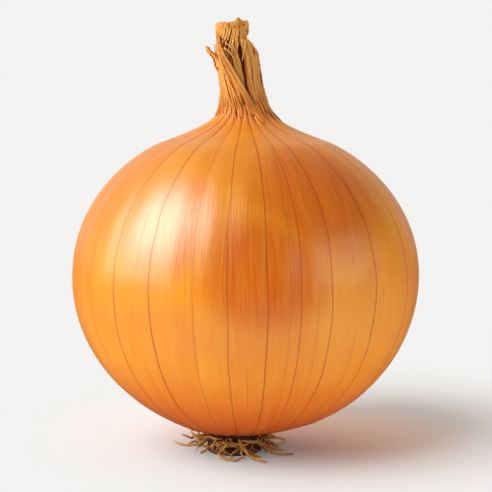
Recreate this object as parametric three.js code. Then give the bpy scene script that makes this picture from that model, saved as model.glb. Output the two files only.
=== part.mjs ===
// A whole brown onion with its papery skin, dry neck and dry roots.
// Millimetres, +Z up, the front towards -Y. The origin is on the surface that the onion
// stands on, under the middle of the bulb. Azimuths are in degrees from the front,
// growing towards +X.
import * as THREE from "three";

const { degToRad, lerp, smoothstep } = THREE.MathUtils;

// Bulb: two quarter ellipses that meet at the equator, and a flare that runs up into the neck.
const BULB_RADIUS = 40.5;
const EQUATOR_Z = 41.9;
const BASE_DROP = 37.3; // from the equator down to where the lower ellipse would close
const CROWN_RISE = 35.7; // from the equator up to where the upper ellipse would close
const SHOULDER_RADIUS = 21.3; // where the crown leaves its ellipse and flares
const FLARE_HANDLES = [[9.4, 4.5], [5.5, 5.5]]; // radius, and rise above the shoulder
const SEAT_RADIUS = 8.5; // flat spot under the bulb that the root plate fits
const BULB_SIDES = 40;

// Neck: the dry leaf bases, twisted together into a stalk.
const NECK_RADIUS = 4.3;
const NECK_FOOT_RADIUS = 5.1;
const NECK_FOOT_Z = 84;
const NECK_TOP_Z = 96.5;
const NECK_LEAN = -3.4; // sideways drift of the stalk by its top
const LEAN_START_Z = 76;
const LEAN_END_Z = 106;
const NECK_FOLDS = 10; // lengthwise folds round the stalk
const NECK_FOLD_DEPTH = 0.18;
const STALK_ROUNDING = 1.2; // height of the step onto the stalk at its foot, and of its rounded top
const TOP_INSET = 0.84; // how far the rounding draws the stalk in

// Root plate: the pressed disc of stem that the roots grow from, flat where the onion stands.
const ROOT_SHIFT = -2.6; // the plate sits a little off the middle of the bulb
const SHIFT_NEAR = 8; // distance from the axis within which the underside has the whole shift
const SHIFT_FAR = 20; // and past which it has none
const PLATE_RADIUS = 7.4;
const FOOT_RADIUS = 6.4;

const GAP = 0.3; // clearance between touching pieces

const skin = new THREE.MeshStandardMaterial({ color: 0xdf8a2e, roughness: 0.42, metalness: 0 });
const dryLeaf = new THREE.MeshStandardMaterial({ color: 0xc98f45, roughness: 0.75, metalness: 0 });
const dryRoot = new THREE.MeshStandardMaterial({ color: 0xa9743a, roughness: 0.85, metalness: 0 });

const onion = new THREE.Group();

function addPiece(name, geometry, material) {
  const piece = new THREE.Mesh(geometry, material);
  piece.name = name;
  onion.add(piece);
}

// Height of the bulb's underside at a distance from the bulb's axis.
const undersideZ = (r) => EQUATOR_Z - BASE_DROP * Math.sqrt(1 - (r / BULB_RADIUS) ** 2);
const SEAT_Z = undersideZ(SEAT_RADIUS);

// Sideways place of the stalk's middle at a height.
const neckMiddleX = (z) => NECK_LEAN * smoothstep(z, LEAN_START_Z, LEAN_END_Z);

// Moves every vertex of a geometry by a function of its place.
function reshape(geometry, move) {
  const places = geometry.getAttribute("position");
  const place = new THREE.Vector3();
  for (let i = 0; i < places.count; i++) {
    place.fromBufferAttribute(places, i);
    move(place);
    places.setXYZ(i, place.x, place.y, place.z);
  }
  geometry.computeVertexNormals();
  return geometry;
}

// A solid of revolution that stands along +Z, from an outline of radius and height.
function turned(outline, sides) {
  return new THREE.LatheGeometry(outline, sides).rotateX(Math.PI / 2);
}

// A point at an azimuth, distance and height about an upright axis through middleX.
function around(azimuth, radius, z, middleX) {
  const angle = degToRad(azimuth);
  return new THREE.Vector3(middleX + radius * Math.sin(angle), -radius * Math.cos(angle), z);
}

// ---- Bulb with its neck ----

function bulbOutline() {
  const outline = [new THREE.Vector2(0, SEAT_Z)];
  const lowest = -Math.acos(SEAT_RADIUS / BULB_RADIUS);
  const lowerSteps = 12;
  for (let i = 0; i < lowerSteps; i++) {
    const angle = lerp(lowest, 0, i / lowerSteps);
    const z = EQUATOR_Z + BASE_DROP * Math.sin(angle);
    outline.push(new THREE.Vector2(BULB_RADIUS * Math.cos(angle), z));
  }
  const highest = Math.acos(SHOULDER_RADIUS / BULB_RADIUS);
  const upperSteps = 9;
  for (let i = 0; i < upperSteps; i++) {
    const angle = lerp(0, highest, i / upperSteps);
    const z = EQUATOR_Z + CROWN_RISE * Math.sin(angle);
    outline.push(new THREE.Vector2(BULB_RADIUS * Math.cos(angle), z));
  }
  const shoulderZ = EQUATOR_Z + CROWN_RISE * Math.sin(highest);
  const flare = new THREE.CubicBezierCurve(
    new THREE.Vector2(SHOULDER_RADIUS, shoulderZ),
    ...FLARE_HANDLES.map(([radius, rise]) => new THREE.Vector2(radius, shoulderZ + rise)),
    new THREE.Vector2(NECK_FOOT_RADIUS, NECK_FOOT_Z),
  );
  outline.push(...flare.getPoints(8));
  outline.push(new THREE.Vector2(NECK_RADIUS, NECK_FOOT_Z + STALK_ROUNDING));
  outline.push(new THREE.Vector2(NECK_RADIUS, lerp(NECK_FOOT_Z, NECK_TOP_Z, 0.5)));
  outline.push(new THREE.Vector2(NECK_RADIUS, NECK_TOP_Z - STALK_ROUNDING));
  outline.push(new THREE.Vector2(NECK_RADIUS - TOP_INSET, NECK_TOP_Z));
  outline.push(new THREE.Vector2(0, NECK_TOP_Z));
  return outline;
}

function makeBulb() {
  const bulb = reshape(turned(bulbOutline(), BULB_SIDES), (p) => {
    const r = Math.hypot(p.x, p.y);
    if (p.z > NECK_FOOT_Z) {
      const fold = NECK_FOLD_DEPTH * Math.cos(NECK_FOLDS * Math.atan2(p.x, -p.y));
      const widened = r > 1 ? (r + fold) / r : 1;
      p.x *= widened;
      p.y *= widened;
    }
    const drawnIn = p.z < EQUATOR_Z ? ROOT_SHIFT * (1 - smoothstep(r, SHIFT_NEAR, SHIFT_FAR)) : 0;
    p.x += drawnIn + neckMiddleX(p.z);
  });
  addPiece("bulb", bulb, skin);
}

// ---- Dry leaf ends on the neck ----

const TAPER_START = 0.55; // shares of a strip's length where it starts to narrow and to lean
const LEAN_START = 0.75;

// A strip of dry leaf, bent round the stalk from its foot to its tip.
// twist is the azimuth that it gains on the way, tipWidth its width there as a share,
// tipLean how far the tip bends out, or in when it is negative.
function leafStrip({ azimuth, twist, width, thickness, radius, footZ, tipZ, tipWidth, tipLean }) {
  const length = tipZ - footZ;
  const slab = new THREE.BoxGeometry(width, length, thickness, 4, 8, 1);
  return reshape(slab.translate(0, length / 2, 0), (p) => {
    const along = p.y / length;
    const across = p.x * lerp(1, tipWidth, smoothstep(along, TAPER_START, 1));
    const distance = radius + p.z + tipLean * smoothstep(along, LEAN_START, 1);
    const turn = azimuth + twist * along + THREE.MathUtils.radToDeg(across / radius);
    const z = footZ + p.y;
    p.copy(around(turn, distance, z, neckMiddleX(z)));
  });
}

const SHEATH_THICKNESS = 0.6;
const SHEATH_RADIUS = NECK_RADIUS + NECK_FOLD_DEPTH + GAP + SHEATH_THICKNESS / 2;
const WRAP_RADIUS = SHEATH_RADIUS + SHEATH_THICKNESS + GAP;

const sheath = { thickness: SHEATH_THICKNESS, radius: SHEATH_RADIUS, footZ: 85.8 };
const LEAF_ENDS = {
  sheath_front: { ...sheath, azimuth: -26, twist: 12, width: 3.4, tipZ: 95.6, tipWidth: 0.7, tipLean: 0 },
  sheath_right: { ...sheath, azimuth: 32, twist: 10, width: 5, tipZ: 97.4, tipWidth: 0.6, tipLean: -1 },
  sheath_left: { ...sheath, azimuth: -80, twist: 2, width: 4.2, tipZ: 95.2, tipWidth: 0.4, tipLean: 0.4 },
  sheath_back_right: { ...sheath, azimuth: 98, twist: 8, width: 4.8, tipZ: 96, tipWidth: 0.6, tipLean: 0 },
  sheath_back: { ...sheath, azimuth: 160, twist: 8, width: 5, tipZ: 98.2, tipWidth: 0.5, tipLean: -0.8 },
  sheath_back_left: { ...sheath, azimuth: 222, twist: 8, width: 4.4, tipZ: 96, tipWidth: 0.5, tipLean: 0 },
  wrap_leaf: {
    azimuth: 30, twist: -92, width: 2.2, thickness: 0.5, radius: WRAP_RADIUS,
    footZ: 85.2, tipZ: 95.8, tipWidth: 0.8, tipLean: 0,
  },
};

function makeLeafEnds() {
  for (const [name, shape] of Object.entries(LEAF_ENDS)) addPiece(name, leafStrip(shape), dryLeaf);
}

// The innermost leaves, torn off in a crumpled cup above the stalk.
const CUP_FOOT_Z = NECK_TOP_Z + GAP;
const CUP_TOP_Z = 101.5;
const CUP_OVAL = 0.8; // front to back, as a share of the side to side width

function makeTornCup() {
  const outline = [
    [0, CUP_FOOT_Z],
    [3.1, CUP_FOOT_Z],
    [3, CUP_FOOT_Z + 1],
    [3.8, CUP_TOP_Z - 1.8],
    [3.5, CUP_TOP_Z],
    [1.4, CUP_TOP_Z - 0.9],
    [0, CUP_TOP_Z - 1.1],
  ].map(([r, z]) => new THREE.Vector2(r, z));
  const cup = reshape(turned(outline, 16), (p) => {
    p.x += neckMiddleX(p.z);
    p.y *= CUP_OVAL;
  });
  addPiece("torn_leaf_cup", cup, dryLeaf);
}

// ---- Root plate and roots ----

const PLATE_TOP_Z = SEAT_Z - GAP;

function makeRootPlate() {
  const outline = [
    [0, 0],
    [FOOT_RADIUS, 0],
    [PLATE_RADIUS - 0.3, 0.7],
    [PLATE_RADIUS, 2.4],
    [PLATE_RADIUS - 0.8, PLATE_TOP_Z],
    [0, PLATE_TOP_Z],
  ].map(([r, z]) => new THREE.Vector2(r, z));
  addPiece("root_plate", turned(outline, 24).translate(ROOT_SHIFT, 0, 0), dryRoot);
}

// A root is a tapered rod, bent along its path.
// curl is the azimuth that it gains on the way out, reach how far it gets from the plate,
// and the heights are those of its middle line at the plate, half way and at the tip.
const ROOT_SIDES = 6;
const ROOT_STEPS = 9;
const ROOT_STATIONS = 12; // places on the path that the rod is bent along
const ROOT_START = PLATE_RADIUS + GAP;
const ROOT_TAPER = 0.55; // share of its thickness that a root loses by its tip

function rootGeometry({ azimuth, curl, reach, heights, thickness }) {
  const [plateZ, middleZ, tipZ] = heights;
  const rise = new THREE.QuadraticBezierCurve(
    new THREE.Vector2(0, plateZ),
    new THREE.Vector2(0.5, 2 * middleZ - (plateZ + tipZ) / 2),
    new THREE.Vector2(1, tipZ),
  );
  const stations = [];
  for (let i = 0; i <= ROOT_STATIONS; i++) {
    const out = i / ROOT_STATIONS;
    const turn = azimuth + curl * out * out;
    stations.push(around(turn, ROOT_START + reach * out, rise.getPoint(out).y, ROOT_SHIFT));
  }
  const path = new THREE.CatmullRomCurve3(stations);
  const frames = path.computeFrenetFrames(ROOT_STEPS);
  const outline = [new THREE.Vector2(0, 0)];
  for (let i = 0; i <= ROOT_STEPS; i++) {
    const taper = 1 - ROOT_TAPER * (i / ROOT_STEPS) ** 1.5;
    outline.push(new THREE.Vector2((thickness / 2) * taper, i));
  }
  outline.push(new THREE.Vector2(0, ROOT_STEPS));
  return reshape(turned(outline, ROOT_SIDES), (p) => {
    const step = Math.round(p.z);
    const { x, y } = p;
    p.copy(path.getPointAt(step / ROOT_STEPS));
    p.addScaledVector(frames.normals[step], x).addScaledVector(frames.binormals[step], y);
  });
}

const ROOTS = [
  { azimuth: 13, curl: 17, reach: 8.2, heights: [3.1, 1.4, 0.7], thickness: 1.2 },
  { azimuth: -24, curl: 22, reach: 3.6, heights: [1.6, 0.8, 0.6], thickness: 0.9 },
  { azimuth: 48, curl: 18, reach: 7, heights: [3.3, 1.1, 0.6], thickness: 1 },
  { azimuth: 30, curl: 4, reach: 3, heights: [1.1, 0.9, 0.6], thickness: 0.9 },
  { azimuth: 72, curl: 10, reach: 4.6, heights: [1.3, 0.8, 0.6], thickness: 0.9 },
  { azimuth: 76, curl: 18, reach: 5, heights: [3.5, 3.4, 2.6], thickness: 0.8 },
  { azimuth: 100, curl: 10, reach: 5.4, heights: [1.6, 1, 0.6], thickness: 1 },
  { azimuth: 122, curl: 10, reach: 5, heights: [3.2, 2.6, 1], thickness: 1 },
  { azimuth: 142, curl: 20, reach: 4.6, heights: [1.2, 0.8, 0.6], thickness: 0.9 },
  { azimuth: 164, curl: 14, reach: 5, heights: [3.2, 2.2, 0.6], thickness: 1.1 },
  { azimuth: 186, curl: 12, reach: 4.6, heights: [1.4, 0.8, 0.6], thickness: 1 },
  { azimuth: 206, curl: -6, reach: 4.6, heights: [3.3, 2.8, 1.2], thickness: 1 },
  { azimuth: 226, curl: 10, reach: 4.2, heights: [1.2, 0.8, 0.6], thickness: 0.9 },
  { azimuth: 244, curl: 10, reach: 3.6, heights: [2.4, 1.8, 0.7], thickness: 0.9 },
  { azimuth: 264, curl: 6, reach: 3, heights: [3.4, 3.2, 2.4], thickness: 0.8 },
  { azimuth: 280, curl: 3, reach: 4.8, heights: [3.8, 3.5, 4.4], thickness: 0.7 },
  { azimuth: 296, curl: -16, reach: 6.9, heights: [3, 2.2, 2.8], thickness: 0.8 },
  { azimuth: 304, curl: -14, reach: 3.2, heights: [4.3, 4.2, 5.2], thickness: 0.7 },
  { azimuth: 312, curl: -3, reach: 2.3, heights: [2.4, 1.4, 0.7], thickness: 1.2 },
  { azimuth: 346, curl: -4, reach: 2.6, heights: [3.6, 2.8, 1.6], thickness: 0.8 },
];

function makeRoots() {
  ROOTS.forEach((root, i) => {
    addPiece(`root_${String(i + 1).padStart(2, "0")}`, rootGeometry(root), dryRoot);
  });
}

makeBulb();
makeLeafEnds();
makeTornCup();
makeRootPlate();
makeRoots();

export default onion;
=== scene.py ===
# %% [markdown]
# # A whole brown onion
# An onion is a globe of fleshy scales in a thin papery skin. Above, the leaf bases dry into a
# twisted neck; below, a small disc of stem holds a tuft of wiry roots, and the onion stands on it.
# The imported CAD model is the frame: it says where each piece is, and every piece made here takes
# its size and place from it. Lengths are in metres, with one millimetre as the working unit.

# %% Load the frame
import math

import bpy
import numpy as np
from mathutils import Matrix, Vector, noise


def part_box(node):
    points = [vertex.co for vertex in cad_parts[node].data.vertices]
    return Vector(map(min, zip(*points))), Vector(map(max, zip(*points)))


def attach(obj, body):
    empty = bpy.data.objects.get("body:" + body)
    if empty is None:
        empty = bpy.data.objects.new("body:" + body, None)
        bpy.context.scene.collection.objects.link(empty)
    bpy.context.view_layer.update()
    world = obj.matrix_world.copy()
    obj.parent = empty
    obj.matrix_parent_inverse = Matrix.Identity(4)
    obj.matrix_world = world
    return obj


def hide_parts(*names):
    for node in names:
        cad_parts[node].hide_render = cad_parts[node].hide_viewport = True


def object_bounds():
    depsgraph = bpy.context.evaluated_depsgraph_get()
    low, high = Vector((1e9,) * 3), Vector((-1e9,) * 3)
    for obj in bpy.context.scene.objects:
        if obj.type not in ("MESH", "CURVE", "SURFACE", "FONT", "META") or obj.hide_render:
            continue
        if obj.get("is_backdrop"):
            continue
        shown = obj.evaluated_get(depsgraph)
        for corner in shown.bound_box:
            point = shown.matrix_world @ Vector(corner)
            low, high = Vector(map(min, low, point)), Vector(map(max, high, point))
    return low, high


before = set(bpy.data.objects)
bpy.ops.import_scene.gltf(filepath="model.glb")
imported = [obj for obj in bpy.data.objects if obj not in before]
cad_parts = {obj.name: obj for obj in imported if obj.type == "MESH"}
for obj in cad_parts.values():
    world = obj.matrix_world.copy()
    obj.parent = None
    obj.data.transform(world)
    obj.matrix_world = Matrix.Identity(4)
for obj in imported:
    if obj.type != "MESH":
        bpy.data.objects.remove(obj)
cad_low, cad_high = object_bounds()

MM = 0.001
print(f"CAD box: {(cad_high - cad_low).x / MM:.1f} mm wide, {(cad_high - cad_low).z / MM:.1f} mm tall")

# %% [markdown]
# ## Camera
# A product picture of something round is taken from a little above its middle, with a long lens,
# so that the globe isn't stretched. The camera looks along +Y at the middle of the object.

# %% Place the camera
CAMERA_RISE = math.radians(6)
CAMERA_DISTANCE = 0.32
aim = (cad_low + cad_high) / 2 + Vector((0.15 * MM, 0, -2.0 * MM))
stand_off = Vector((0, -math.cos(CAMERA_RISE), math.sin(CAMERA_RISE))) * CAMERA_DISTANCE
bpy.ops.object.camera_add(location=aim + stand_off, rotation=(math.pi / 2 - CAMERA_RISE, 0, 0))
camera = bpy.context.object
camera.data.lens = 100
camera.data.clip_start = 10 * MM
bpy.context.scene.camera = camera
bpy.context.scene.view_settings.view_transform = "Standard"
print("camera at", [round(v, 3) for v in camera.location])

# %% [markdown]
# ## Helpers for node trees
# A material is a graph of small nodes. Writing each one by hand takes several lines, so a helper
# adds a node, sets its options, and then either links or sets each input that it is given.


# %% Helpers for nodes
def fill_sockets(tree, node, inputs):
    """Fills a node's inputs: a socket's name or number, with a value, or with a socket to link."""
    for socket, value in inputs.items():
        if isinstance(value, bpy.types.NodeSocket):
            tree.links.new(value, node.inputs[socket])
        else:
            node.inputs[socket].default_value = value


def add_node(tree, kind, inputs=None, **options):
    """A new node, with its options and inputs set."""
    made = tree.nodes.new("ShaderNode" + kind)
    for option, value in options.items():
        setattr(made, option, value)
    fill_sockets(tree, made, inputs or {})
    return made


def calc(tree, operation, *values):
    """The result of a Math node."""
    return add_node(tree, "Math", dict(enumerate(values)), operation=operation).outputs[0]


def vector_calc(tree, operation, first, second):
    """The number that a Vector Math node gives."""
    made = add_node(tree, "VectorMath", {0: first, 1: second}, operation=operation)
    return made.outputs["Value"]


def distance_from(tree, place, point):
    """How far a place is from a point that is given in millimetres."""
    return vector_calc(tree, "DISTANCE", place, tuple(v * MM for v in point))


def split(tree, vector):
    """The X, Y and Z of a vector."""
    return add_node(tree, "SeparateXYZ", {0: vector}).outputs


def ramp(tree, value, low, high, to_low=0.0, to_high=1.0):
    """A smooth step from to_low, at and before low, to to_high, at and past high."""
    places = {0: value, 1: low, 2: high, 3: to_low, 4: to_high}
    made = add_node(tree, "MapRange", places, interpolation_type="SMOOTHSTEP")
    return made.outputs[0]


def blend_colours(tree, share, first, second):
    """A colour that goes from first to second as share goes from 0 to 1."""
    inputs = {0: share, 6: first, 7: second}
    return add_node(tree, "Mix", inputs, data_type="RGBA").outputs[2]


def cloud(tree, vector, scale, detail=2.0, rough=0.5):
    """Soft noise from 0 to 1, mostly near 0.5."""
    inputs = {"Vector": vector, "Scale": scale, "Detail": detail, "Roughness": rough}
    return add_node(tree, "TexNoise", inputs).outputs[0]


def srgb(red, green, blue):
    """A colour as a painter names it, 0 to 255, as the linear values that a shader needs."""
    return tuple((v / 255) ** 2.2 for v in (red, green, blue)) + (1.0,)


# %% [markdown]
# ## Light
# A pale room lights the object from behind and above, with a tall soft box on one side and a pale
# card on the other. Lamps could stand in for them, but the floor would then fade with distance. So
# they are painted on the sky instead: a card of light is a soft-edged rectangle of directions. A
# photographer flags and screens a lamp until its highlight has the wanted place and softness. Here
# a card has one strength as a lamp and another in reflections, which does the same.


# %% A card of light, as a node group
def make_light_card():
    """The group: 1 where a direction meets the card, falling to 0 over its soft edge."""
    group = bpy.data.node_groups.new("light_card", "ShaderNodeTree")
    face = group.interface
    for name in ("Direction", "Towards", "Across", "Up"):
        face.new_socket(name, in_out="INPUT", socket_type="NodeSocketVector")
    for name in ("Half Width", "Half Height", "Softness"):
        face.new_socket(name, in_out="INPUT", socket_type="NodeSocketFloat")
    face.new_socket("Light", in_out="OUTPUT", socket_type="NodeSocketFloat")
    entry = group.nodes.new("NodeGroupInput").outputs

    def along(axis):
        return vector_calc(group, "DOT_PRODUCT", entry["Direction"], entry[axis])

    towards = calc(group, "MAXIMUM", along("Towards"), 0.01)
    sides = []
    for axis, half in (("Across", "Half Width"), ("Up", "Half Height")):
        off = calc(group, "ABSOLUTE", calc(group, "DIVIDE", along(axis), towards))
        inner = calc(group, "SUBTRACT", entry[half], entry["Softness"])
        outer = calc(group, "ADD", entry[half], entry["Softness"])
        sides.append(ramp(group, off, inner, outer, 1.0, 0.0))
    out = group.nodes.new("NodeGroupOutput")
    group.links.new(calc(group, "MULTIPLY", *sides), out.inputs["Light"])
    return group


light_card = make_light_card()
print("light card inputs:", [s.name for s in light_card.interface.items_tree if s.in_out == "INPUT"])

# %% Paint the sky
BACKDROP = srgb(243, 242, 240)
LAMP_WHITE = (1.0, 0.985, 0.97, 1.0)
ROOM_LAMP, ROOM_MIRRORED = 1.3, 0.62
# Each card has a turn from the front and a rise, in degrees, half sizes and softness as tangents,
# and how bright it is as a lamp and in reflections.
CARDS = {
    "soft_box": dict(turn=-54, rise=40, half=(0.40, 0.45), soft=0.10, lamp=4.7, mirrored=0.0),
    "bright_core": dict(turn=-70, rise=40, half=(0.34, 0.36), soft=0.24, lamp=0.0, mirrored=10.0),
    "its_halo": dict(turn=-74, rise=30, half=(0.50, 0.66), soft=0.30, lamp=0.0, mirrored=5.6),
    "side_card": dict(turn=-80, rise=25, half=(0.40, 0.40), soft=0.10, lamp=0.85, mirrored=0.0),
    "pale_card": dict(turn=66, rise=12, half=(0.50, 0.30), soft=0.08, lamp=1.9, mirrored=1.3),
}


def card_axes(turn, rise):
    """The directions towards a card, across it and up it."""
    turn, rise = math.radians(turn), math.radians(rise)
    towards = Vector((math.sin(turn) * math.cos(rise), -math.cos(turn) * math.cos(rise), math.sin(rise)))
    across = Vector((math.cos(turn), math.sin(turn), 0))
    return towards, across, towards.cross(across)


world = bpy.data.worlds.new("studio")
bpy.context.scene.world = world
world.use_nodes = True
sky = world.node_tree
sky.nodes.clear()
direction = add_node(sky, "TexCoord").outputs["Generated"]
in_mirror = add_node(sky, "LightPath").outputs["Is Glossy Ray"]


def facing(side):
    """How far a direction points to one side of the room, up to 1."""
    return vector_calc(sky, "DOT_PRODUCT", direction, side)


room = ramp(sky, facing((0.0, 0.9, 0.43)), 0.2, 0.95, 0.0, ROOM_LAMP)  # brightest behind and above
room_mirrored = ramp(sky, facing((-0.35, 0.93, -0.1)), 0.0, 1.0, 0.0, ROOM_MIRRORED)
light = ramp(sky, in_mirror, 0.0, 1.0, room, room_mirrored)
for card in CARDS.values():
    towards, across, up = card_axes(card["turn"], card["rise"])
    half_width, half_height = card["half"]
    inputs = {
        "Direction": direction, "Towards": towards, "Across": across, "Up": up,
        "Half Width": half_width, "Half Height": half_height, "Softness": card["soft"],
    }
    patch = add_node(sky, "Group", inputs, node_tree=light_card)
    strength = ramp(sky, in_mirror, 0.0, 1.0, card["lamp"], card["mirrored"])
    light = calc(sky, "ADD", light, calc(sky, "MULTIPLY", patch.outputs[0], strength))
lit = add_node(sky, "Background", {"Color": LAMP_WHITE, "Strength": light}).outputs[0]
seen = add_node(sky, "Background", {"Color": BACKDROP, "Strength": 1.0}).outputs[0]
from_camera = add_node(sky, "LightPath").outputs["Is Camera Ray"]
shown = add_node(sky, "MixShader", {0: from_camera, 1: lit, 2: seen}).outputs[0]
add_node(sky, "OutputWorld", {"Surface": shown})
print("sky painted with", ", ".join(CARDS))

# %% [markdown]
# ## Floor
# The floor is a wide round sheet of paper that melts into the backdrop, soon behind the onion for the
# camera, and far away for all else. Past the onion's own shade it glows a little, for what a wide
# lit floor throws back. Its front is flagged: it is dark for the onion, but not for the camera. A
# warm tint is painted on the paper beside the roots, for light that comes through the skin.


# %% Clear the selection
def deselect():
    """Leaves nothing selected, so that the next operator acts on the new piece alone."""
    if bpy.context.object and bpy.context.object.mode != "OBJECT":
        bpy.ops.object.mode_set(mode="OBJECT")
    bpy.ops.object.select_all(action="DESELECT")


# %% Lay the floor
FLOOR_REACH = 12.0
PAPER = (0.785, 0.79, 0.785, 1.0)
FLAGGED_PAPER = (0.02, 0.02, 0.02, 1.0)
# The warm colour is a painted glow on the paper, for light that comes through the skin.
PAINTED_SKIN_GLOW = (0.82, 0.60, 0.42, 1.0)
MIDDLE, GLOW_SPOT, MELT_CENTRE = (0, 0, 0), (20, 16, 0), (25, 30, 0)  # on the floor, in millimetres
THROWN_BACK = 0.92  # strength of the floor's glow
DULLED = 0.9  # how much darker the paper is in reflections

deselect()
bpy.ops.mesh.primitive_circle_add(vertices=96, radius=FLOOR_REACH, fill_type="NGON")
floor = bpy.context.object
floor.name = "floor"
paper = bpy.data.materials.new("floor_paper")
paper.use_nodes = True
tree = paper.node_tree
tree.nodes.clear()
spot = add_node(tree, "TexCoord").outputs["Object"]
ray = add_node(tree, "LightPath").outputs
for_camera, for_mirror = ray["Is Camera Ray"], ray["Is Glossy Ray"]

flagged = ramp(tree, split(tree, spot)["Y"], -0.10, -0.20)
flagged = calc(tree, "MULTIPLY", flagged, calc(tree, "SUBTRACT", 1.0, for_camera))
open_part = calc(tree, "SUBTRACT", 1.0, flagged)
bright = calc(tree, "MULTIPLY", open_part, calc(tree, "MULTIPLY_ADD", for_mirror, -DULLED, 1.0))
tone = blend_colours(tree, bright, FLAGGED_PAPER, PAPER)
# Painted glow: a warm tint on the paper beside the roots, for light that comes through the skin.
painted_glow = ramp(tree, distance_from(tree, spot, GLOW_SPOT), 0.008, 0.040, 0.5, 0.0)
tone = blend_colours(tree, painted_glow, tone, PAINTED_SKIN_GLOW)
near = add_node(tree, "BsdfDiffuse", {"Color": tone}).outputs[0]
thrown = ramp(tree, distance_from(tree, spot, MIDDLE), 0.02, 0.09, 0.0, THROWN_BACK)
thrown = calc(tree, "MULTIPLY", calc(tree, "MULTIPLY", thrown, ray["Is Diffuse Ray"]), open_part)
glow = add_node(tree, "Emission", {"Strength": thrown}).outputs[0]
near = add_node(tree, "AddShader", {0: near, 1: glow}).outputs[0]

seen = calc(tree, "MULTIPLY", calc(tree, "MULTIPLY_ADD", for_mirror, 0.2, for_camera), open_part)
far = add_node(tree, "Emission", {"Color": BACKDROP, "Strength": seen}).outputs[0]
near_melt = ramp(tree, distance_from(tree, spot, MELT_CENTRE), 0.025, 0.09)
near_melt = calc(tree, "MULTIPLY", near_melt, for_camera)
far_melt = ramp(tree, distance_from(tree, spot, MIDDLE), 0.10, 0.70)
melting = calc(tree, "MAXIMUM", near_melt, far_melt)
melted = add_node(tree, "MixShader", {0: melting, 1: near, 2: far}).outputs[0]
add_node(tree, "OutputMaterial", {"Surface": melted})
floor.data.materials.append(paper)
floor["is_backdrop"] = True
print("floor at height", floor.location.z)

# %% [markdown]
# ## The outline of the bulb
# The bulb's skin is close to a solid of revolution whose axis drifts sideways towards the roots and
# up the neck. Its outline could be typed in again, but the CAD node already holds it: each ring
# of its vertices gives a height, a radius and the place of the ring's middle. A smooth curve through
# those rings is the outline that the skin follows.


# %% Read the rings of the CAD bulb
def smooth_through(points, steps=16):
    """A dense, smooth curve through points, one row each (Catmull-Rom)."""
    padded = np.vstack([2 * points[0] - points[1], points, 2 * points[-1] - points[-2]])
    t = np.linspace(0, 1, steps, endpoint=False)[:, None]
    pieces = []
    for a, b, c, d in zip(padded, padded[1:], padded[2:], padded[3:]):
        curve = 2 * b + (c - a) * t + (2 * a - 5 * b + 4 * c - d) * t**2 + (3 * b - a - 3 * c + d) * t**3
        pieces.append(curve / 2)
    return np.vstack([*pieces, points[-1]])


def node_points(name):
    """The vertices of a CAD node, in millimetres."""
    return np.array([v.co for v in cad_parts[name].data.vertices]) / MM


def cad_rings(name, least_radius):
    """Radius, height and sideways middle of each level ring of a CAD node, from below."""
    points = node_points(name)
    rings = []
    for height in sorted(set(np.round(points[:, 2], 2))):
        ring = points[abs(points[:, 2] - height) < 0.02]
        across, deep = np.ptp(ring[:, 0]), np.ptp(ring[:, 1])
        if deep / 2 > least_radius:
            rings.append((deep / 2, height, ring[:, 0].min() + across / 2))
    return np.array(rings)


bulb_rings = cad_rings("bulb", least_radius=3.0)
stalk_foot = len(bulb_rings) - 4  # the ring where the flare steps in under the leaf ends
bulb_rings = np.delete(bulb_rings, stalk_foot - 1, axis=0)
outline = smooth_through(bulb_rings)
arc = np.concatenate([[0], np.cumsum(np.hypot(*np.diff(outline[:, :2], axis=0).T))])
BULB_RADIUS = outline[:, 0].max()
SEAT_Z, STALK_TOP = outline[0, 1], outline[-1, 1]
EQUATOR_Z = outline[outline[:, 0].argmax(), 1]
SHOULDER_Z = EQUATOR_Z + 0.76 * BULB_RADIUS
print(f"{len(bulb_rings)} rings, radius {BULB_RADIUS:.1f} mm at height {EQUATOR_Z:.1f} mm")


# %% Measures along the outline
def skin_radius(z):
    """Radius of the bulb's skin at a height, in millimetres. Above the stalk it stays the same."""
    return np.interp(z, outline[:, 1], outline[:, 0])


def skin_middle(z):
    """Sideways place of the skin's axis at a height."""
    return np.interp(z, outline[:, 1], outline[:, 2])


def step(value, low, high):
    """0 at and before low, 1 at and past high, smooth between."""
    share = np.clip((value - low) / (high - low), 0, 1)
    return share * share * (3 - 2 * share)


shoulder_arc = np.interp(SHOULDER_Z, outline[:, 1], arc)
print(f"outline {arc[-1]:.0f} mm long, of which {arc[-1] - shoulder_arc:.0f} mm is neck")

# %% [markdown]
# ## The skin
# By hand, this would start as a circle at the seat, extruded upwards ring by ring, each ring resized to the
# outline. That is done here with operators, on a coarse cage of 96 points a ring. Subdivision then
# makes it smooth and fine enough for the folds of the neck, which are moved in afterwards,
# vertex by vertex, as a sculptor would.

# %% Extrude the cage of the skin
CAGE_SIDES = 96
body_stops = np.linspace(0, shoulder_arc, 25)
neck_stops = np.linspace(shoulder_arc, arc[-1], 28)[1:]
stops = np.concatenate([body_stops, neck_stops])
cage = np.column_stack([np.interp(stops, arc, outline[:, k]) for k in range(3)]) * MM

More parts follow.
